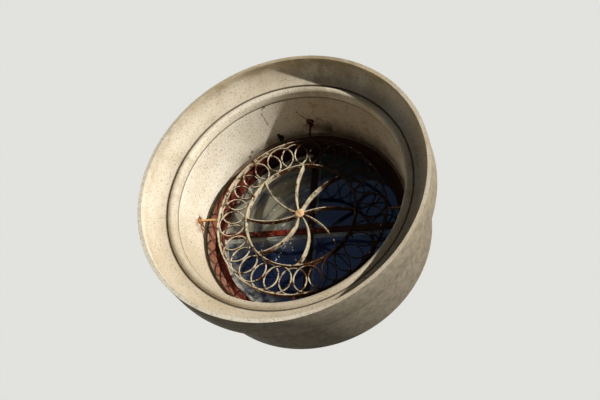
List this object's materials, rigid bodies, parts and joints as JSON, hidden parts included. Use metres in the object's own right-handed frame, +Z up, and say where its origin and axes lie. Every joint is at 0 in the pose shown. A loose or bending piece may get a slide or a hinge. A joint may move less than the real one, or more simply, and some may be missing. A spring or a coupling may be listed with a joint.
{
  "type": "round window",
  "caption": "Round window with a moulded stone surround, a tapered reveal, a timber frame with a cross-bar sash and a wrought-iron grille.",
  "frame": {"origin": "the window's centre in the plane of the wall's face", "axes": "+X along the wall to the right as seen from the street, +Y into the wall, +Z up"},
  "size_m": [1.3, 0.532, 1.3],
  "materials": {
    "moulded_stone": "smooth cream limewash over stone, stained",
    "reveal_stone": "speckled rough render",
    "mortar": "grey mortar",
    "frame_timber": "red-brown paint, faded pink and peeling",
    "sash_timber": "red-brown paint, peeling",
    "glass": "dusty window glass",
    "inner_paint": "white paint",
    "painted_iron": "cream paint worn to rust",
    "rusty_iron": "orange-brown rust",
    "lead": "dull lead"
  },
  "bodies": {
    "root": {"surround_moulding": "moulded_stone", "reveal_ring": "reveal_stone", "frame_bedding": "mortar", "frame_felloe_1": "frame_timber", "frame_felloe_2": "frame_timber", "frame_felloe_3": "frame_timber", "frame_felloe_4": "frame_timber", "sash_felloe_1": "sash_timber", "sash_felloe_2": "sash_timber", "sash_felloe_3": "sash_timber", "sash_felloe_4": "sash_timber", "transom": "sash_timber", "mullion": "sash_timber", "pane_upper_right": "glass", "curved_bead_upper_right": "inner_paint", "long_bead_upper_right": "inner_paint", "short_bead_upper_right": "inner_paint", "pane_upper_left": "glass", "curved_bead_upper_left": "inner_paint", "long_bead_upper_left": "inner_paint", "short_bead_upper_left": "inner_paint", "pane_lower_left": "glass", "curved_bead_lower_left": "inner_paint", "long_bead_lower_left": "inner_paint", "short_bead_lower_left": "inner_paint", "pane_lower_right": "glass", "curved_bead_lower_right": "inner_paint", "long_bead_lower_right": "inner_paint", "short_bead_lower_right": "inner_paint", "grille_outer_ring": "painted_iron", "grille_inner_ring": "painted_iron", "circles_front": "painted_iron", "circles_rear": "painted_iron", "spoke_1": "painted_iron", "spoke_2": "painted_iron", "spoke_3": "painted_iron", "spoke_4": "painted_iron", "spoke_5": "painted_iron", "spoke_6": "painted_iron", "spoke_7": "painted_iron", "spoke_8": "painted_iron", "hub_block": "painted_iron", "hub_cap": "rusty_iron", "stay_right": "rusty_iron", "stay_top": "rusty_iron", "stay_left": "rusty_iron", "stay_bottom": "rusty_iron", "stay_leads": "lead", "fixing_stub": "rusty_iron"}
  },
  "joints": []
}
